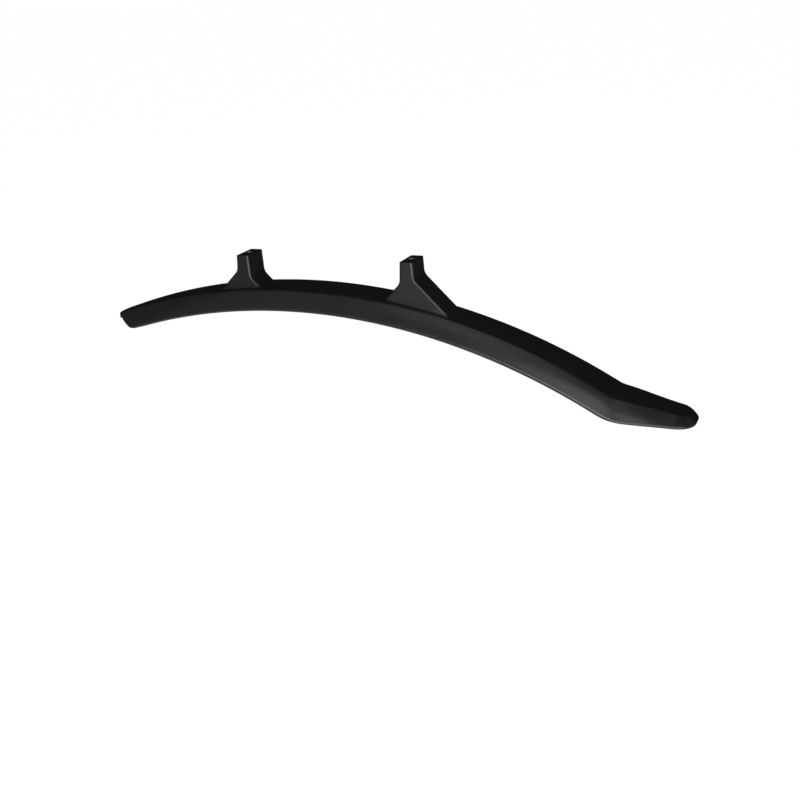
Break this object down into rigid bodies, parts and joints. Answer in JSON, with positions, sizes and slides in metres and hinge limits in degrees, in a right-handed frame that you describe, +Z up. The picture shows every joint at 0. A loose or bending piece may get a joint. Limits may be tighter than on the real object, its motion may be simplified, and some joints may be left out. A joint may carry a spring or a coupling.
{
  "type": "bicycle rear mudguard",
  "caption": "Black moulded rear mudguard for a bicycle: a channel blade curved round the wheel, with a flicked tail and towers that bolt up under a luggage rack.",
  "frame": {"origin": "midway between the two bolt holes, on the plane of the tower tops that seat against the rack", "axes": "+X towards the rear of the bicycle, +Y to its right side, +Z up; the blade's arc is concentric with the wheel's axle"},
  "size_m": [0.4142, 0.0454, 0.0966],
  "materials": {
    "black_plastic": "satin, moulded",
    "stainless_steel": "turned"
  },
  "bodies": {
    "root": {"mudguard": "black_plastic", "front_insert": "stainless_steel", "rear_insert": "stainless_steel"}
  },
  "joints": []
}
